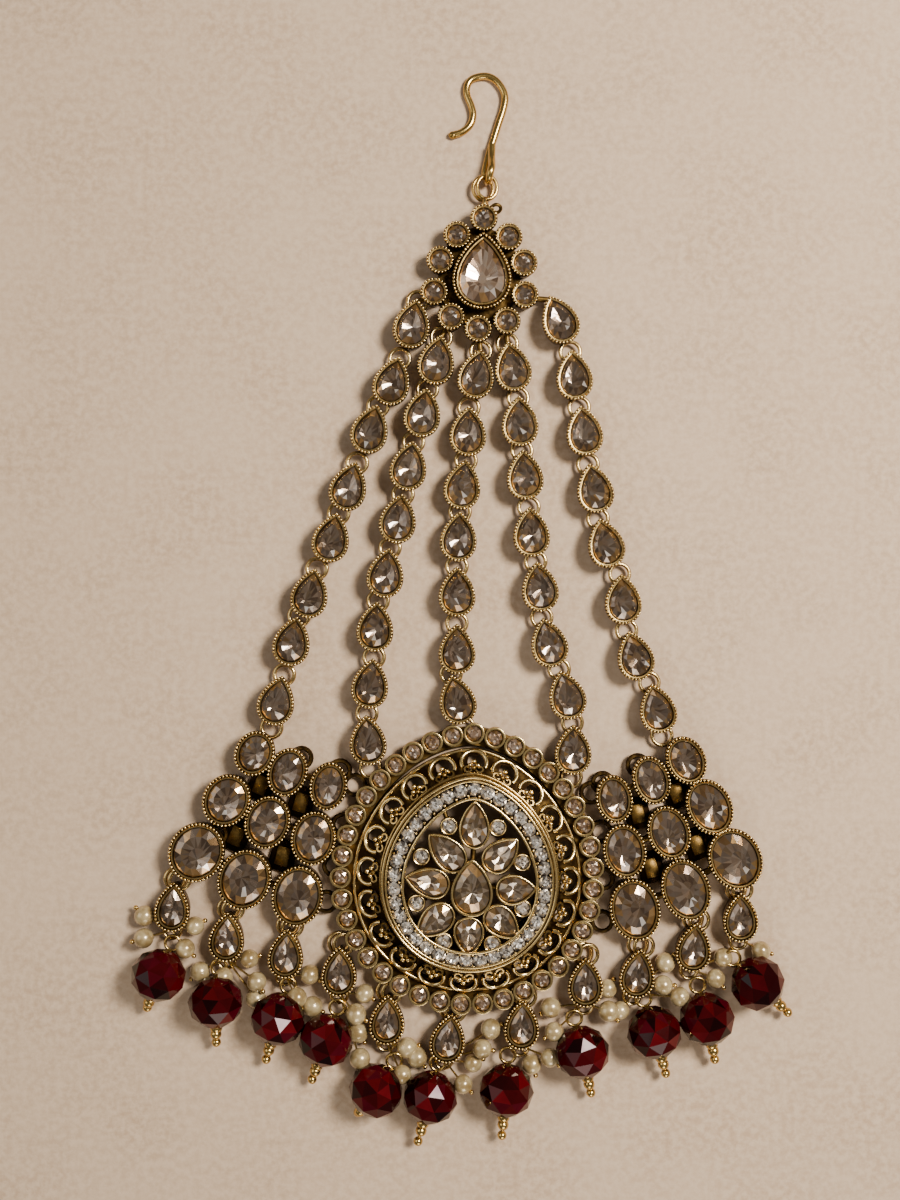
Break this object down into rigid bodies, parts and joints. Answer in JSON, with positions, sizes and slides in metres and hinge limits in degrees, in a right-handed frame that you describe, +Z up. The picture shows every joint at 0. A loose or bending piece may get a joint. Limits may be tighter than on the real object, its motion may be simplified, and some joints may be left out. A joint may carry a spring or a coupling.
{
  "type": "jhoomar head ornament",
  "caption": "Side head ornament: a hook carries a stone flower, chains of pear settings fan out from it to an openwork medallion and oval panels fringed with red bead drops.",
  "frame": {"origin": "centre of the bounding box, on the plane the ornament lies on", "axes": "+X to the right, +Y from the drops towards the hook, +Z up out of the stones"},
  "size_m": [0.0984, 0.1616, 0.0077],
  "materials": {
    "antique_gold": "antique gold with dark recesses and worn bright edges",
    "bright_gold": "smooth bright gold wire",
    "ruby_glass": "polished faceted red glass",
    "pearl_ivory": "ivory pearl sheen"
  },
  "bodies": {
    "root": {"hook": "bright_gold", "hook_ring": "antique_gold", "crown_flower": "antique_gold", "chain_1": "antique_gold", "chain_2": "antique_gold", "chain_3": "antique_gold", "chain_4": "antique_gold", "chain_5": "antique_gold", "side_panel_left": "antique_gold", "side_panel_right": "antique_gold", "medallion": "antique_gold", "drop_setting_1": "antique_gold", "drop_setting_2": "antique_gold", "drop_setting_3": "antique_gold", "drop_setting_4": "antique_gold", "drop_setting_5": "antique_gold", "drop_setting_6": "antique_gold", "drop_setting_7": "antique_gold", "drop_setting_8": "antique_gold", "drop_setting_9": "antique_gold", "drop_setting_10": "antique_gold", "drop_setting_11": "antique_gold", "ruby_bead_1": "ruby_glass", "ruby_bead_2": "ruby_glass", "ruby_bead_3": "ruby_glass", "ruby_bead_4": "ruby_glass", "ruby_bead_5": "ruby_glass", "ruby_bead_6": "ruby_glass", "ruby_bead_7": "ruby_glass", "ruby_bead_8": "ruby_glass", "ruby_bead_9": "ruby_glass", "ruby_bead_10": "ruby_glass", "ruby_bead_11": "ruby_glass", "head_pin_1": "antique_gold", "head_pin_2": "antique_gold", "head_pin_3": "antique_gold", "head_pin_4": "antique_gold", "head_pin_5": "antique_gold", "head_pin_6": "antique_gold", "head_pin_7": "antique_gold", "head_pin_8": "antique_gold", "head_pin_9": "antique_gold", "head_pin_10": "antique_gold", "head_pin_11": "antique_gold", "pearl_wire_1": "pearl_ivory", "pearl_wire_2": "pearl_ivory", "pearl_wire_3": "pearl_ivory", "pearl_wire_4": "pearl_ivory", "pearl_wire_5": "pearl_ivory", "pearl_wire_6": "pearl_ivory", "pearl_wire_7": "pearl_ivory", "pearl_wire_8": "pearl_ivory", "pearl_wire_9": "pearl_ivory", "pearl_wire_10": "pearl_ivory", "pearl_wire_11": "pearl_ivory"}
  },
  "joints": []
}
